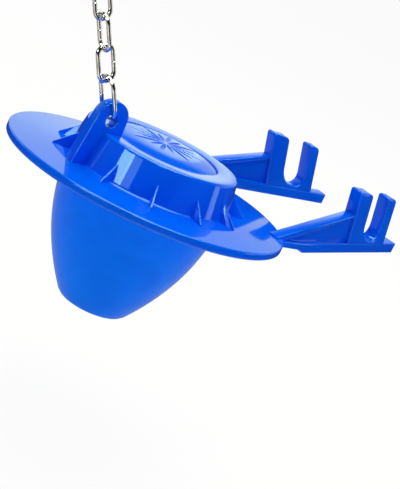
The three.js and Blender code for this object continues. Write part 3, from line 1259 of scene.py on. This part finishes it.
@dataclass
class Stage:
    """Floor, studio light and camera.

    A wall of the surround is a product of ramps. Each gives two turns about Z in radians, or two
    heights, and the brightness at both.
    """

    view_azimuth: float = 43.98
    look_down: float = 14.56
    roll: float = 26.09
    aim: tuple[float, float, float] = (14.95, -18.75, -8.73)
    distance: float = 416.5
    lens: float = 117
    sensor: float = 36
    near_clip: float = 0.01
    floor_drop: float = 95
    floor_radius: float = 9.0
    floor_sides: int = 96
    floor_paint: Colour = (0.78, 0.78, 0.78)
    floor_whiteness: float = 0.95
    floor_shine: float = 0.03
    pool_shine: float = 0.45
    spot_shine: float = 1.1
    spot_place: tuple[float, float, float] = (-94, -170, -95)
    spot_edges: Range = (50, 130)
    pool_edges: Range = (270, 340)
    ambient: float = 0.13
    ambient_colour: Colour = (0.5, 0.6, 1.0)
    shine_colour: Colour = (0.95, 1.1, 0.85)
    back_wall: Ramps = (
        ((0.735, 0.785), (0.5, 1.0)), ((2.0, 2.6), (1.0, 0.0)), ((0.3, 0.5), (0.0, 1.0)),
        ((0.76, 0.92), (1.35, 0.92)),
    )
    side_wall: Ramps = (((-0.5, -0.3), (0.0, 0.6)), ((0.5, 0.7), (1.0, 0.0)))
    wall_heights: Ramps = (((-0.05, 0.08), (0.0, 1.0)), ((0.4, 0.7), (1.0, 0.0)))
    wall_floor: float = 0.015
    lamps: tuple[Lamp, ...] = (
        Lamp("left_strip", -171, -8, 1.1, 0.34, 0.72, 6.8, Role.MIRROR, (0.9, 1.0, 0.97)),
        Lamp("left_glow", -158, -8, 1.1, 0.3, 0.72, 1.3, Role.MIRROR, (0.9, 1.0, 0.97)),
        Lamp("right_strip", -32, -5, 1.1, 0.2, 0.8, 1.0, Role.MIRROR, (0.88, 1.0, 0.97)),
        Lamp("top_mirror", -142, 82, 1.3, 1.4, 1.4, 40.0, Role.MIRROR, (0.88, 1.0, 1.0)),
        Lamp("edge_mirror", -124, 36, 1.3, 0.32, 0.3, 2.2, Role.MIRROR, (0.88, 1.0, 1.0)),
        Lamp("key_box", -142, 80, 1.3, 0.9, 0.9, 21.5, Role.LIGHT, (1.0, 1.0, 0.7)),
        Lamp("right_fill", -70, 3, 1.4, 1.2, 0.4, 6.0),
        Lamp("left_fill", 152, 3, 1.4, 1.0, 0.4, 5.5),
        Lamp("back_box", 50, 55, 1.5, 1.2, 0.9, 9.0),
    )

    def build_camera(self) -> None:
        """Sets the camera at the photograph's angle, rolled as the flapper hangs there."""
        az, down, roll = (math.radians(a) for a in (self.view_azimuth, self.look_down, self.roll))
        ahead = Vector((math.cos(az) * math.cos(down), math.sin(az) * math.cos(down), -math.sin(down)))
        level = ahead.cross(Vector((0, 0, 1))).normalized()
        upright = level.cross(ahead)
        right = level * math.cos(roll) + upright * math.sin(roll)
        up = right.cross(ahead)
        lens = bpy.data.cameras.new("camera")
        lens.lens = self.lens
        lens.sensor_fit = "HORIZONTAL"
        lens.sensor_width = self.sensor
        lens.clip_start = self.near_clip
        camera = bpy.data.objects.new("camera", lens)
        place = (Vector(self.aim) - ahead * self.distance) * MM
        axes = Matrix((right, up, -ahead)).transposed().to_4x4()
        camera.matrix_world = Matrix.Translation(place) @ axes
        bpy.context.scene.collection.objects.link(camera)
        bpy.context.scene.camera = camera

    def build_floor(self) -> None:
        """Lays a pale floor that keeps a soft shadow and doesn't hide the part from below."""
        work = bmesh.new()
        bmesh.ops.create_circle(work, cap_ends=True, segments=self.floor_sides, radius=self.floor_radius)
        bmesh.ops.translate(work, verts=work.verts, vec=(0, 0, -self.floor_drop * MM))
        mesh = bpy.data.meshes.new("floor")
        work.to_mesh(mesh)
        work.free()
        floor = placed("floor", mesh)
        material = bpy.data.materials.new("pale_floor")
        tree = Nodes(material)
        rays = tree.add("ShaderNodeLightPath").outputs
        glossy = rays["Is Glossy Ray"]
        clear = tree.larger(rays["Is Camera Ray"], rays["Is Transmission Ray"])
        seen = tree.larger(tree.times(clear, self.floor_whiteness), glossy)
        place, centre = tree.place(), [v * MM for v in self.spot_place]
        reach = tree.add("ShaderNodeVectorMath", {0: place}, operation="LENGTH").outputs["Value"]
        spot = tree.add("ShaderNodeVectorMath", {0: place, 1: centre}, operation="DISTANCE")
        spot_ends = [edge * MM for edge in self.spot_edges]
        pool_ends = [edge * MM for edge in self.pool_edges]
        shine = tree.remap(spot.outputs["Value"], spot_ends, (self.spot_shine, self.pool_shine))
        pool = tree.plus(tree.times(shine, tree.remap(reach, pool_ends, (1.0, 0.0))), self.floor_shine)
        paint = tree.add("ShaderNodeBsdfDiffuse", {"Color": (*self.floor_paint, 1)}).outputs[0]
        glow = tree.add("ShaderNodeEmission", {
            "Color": (*WHITE, 1), "Strength": tree.larger(clear, tree.times(glossy, pool)),
        }).outputs[0]
        below = tree.add("ShaderNodeBsdfTransparent").outputs[0]
        from_below = tree.add("ShaderNodeNewGeometry").outputs["Backfacing"]
        tree.output(tree.mixed(from_below, tree.mixed(seen, paint, glow), below))
        mesh.materials.append(material)

    def build_world(self) -> None:
        """Makes a white surround that is dim on the camera's side of the studio."""
        world = bpy.data.worlds.new("studio")
        bpy.context.scene.world = world
        tree = Nodes(world)
        x, y, height = tree.split(tree.add("ShaderNodeTexCoord").outputs["Generated"])
        turn = tree.math("ARCTAN2", y, x)

        def wall(value: NodeSocket, ramps: Ramps) -> NodeSocket:
            """Multiplies the ramps over a value."""
            return functools.reduce(tree.times, [tree.remap(value, *ramp) for ramp in ramps])

        def surround(colour: Colour, strength: object) -> NodeSocket:
            """A background of one colour."""
            node = tree.add("ShaderNodeBackground", {"Color": (*colour, 1), "Strength": strength})
            return node.outputs[0]

        around = tree.larger(wall(turn, self.back_wall), wall(turn, self.side_wall))
        bright = tree.plus(tree.times(around, wall(height, self.wall_heights)), self.wall_floor)
        rays = tree.add("ShaderNodeLightPath").outputs
        mirrored = tree.larger(rays["Is Glossy Ray"], rays["Is Transmission Ray"])
        plain = surround(self.ambient_colour, self.ambient)
        shown = tree.mixed(mirrored, plain, surround(self.shine_colour, bright))
        seen = tree.mixed(rays["Is Camera Ray"], shown, surround(WHITE, 1.0))
        tree.output(seen, "ShaderNodeOutputWorld")

    def build(self) -> None:
        """Sets up camera, floor, surround and lamps."""
        bpy.context.scene.view_settings.view_transform = "Standard"
        self.build_camera()
        self.build_floor()
        self.build_world()
        for lamp in self.lamps:
            lamp.build(Vector((0, 0, 0)))


def main() -> None:
    """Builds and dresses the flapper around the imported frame."""
    logging.basicConfig(level=logging.INFO, format="%(message)s")
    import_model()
    Stage().build()
    LOG.info("stage ready")
    body = MouldedBody().dress(GLOSSY_BLUE)
    LOG.info("%s: %d faces", body.name, len(body.data.polygons))
    cup = FloatCup().dress(SATIN_BLUE_PAINTED_LIGHTER)
    LOG.info("%s: %d faces", cup.name, len(cup.data.polygons))
    for piece in LiftChain().dress(BRIGHT_WIRE):
        LOG.info("%s: %d faces", piece.name, len(piece.data.polygons))


if __name__ == "__main__":
    main()
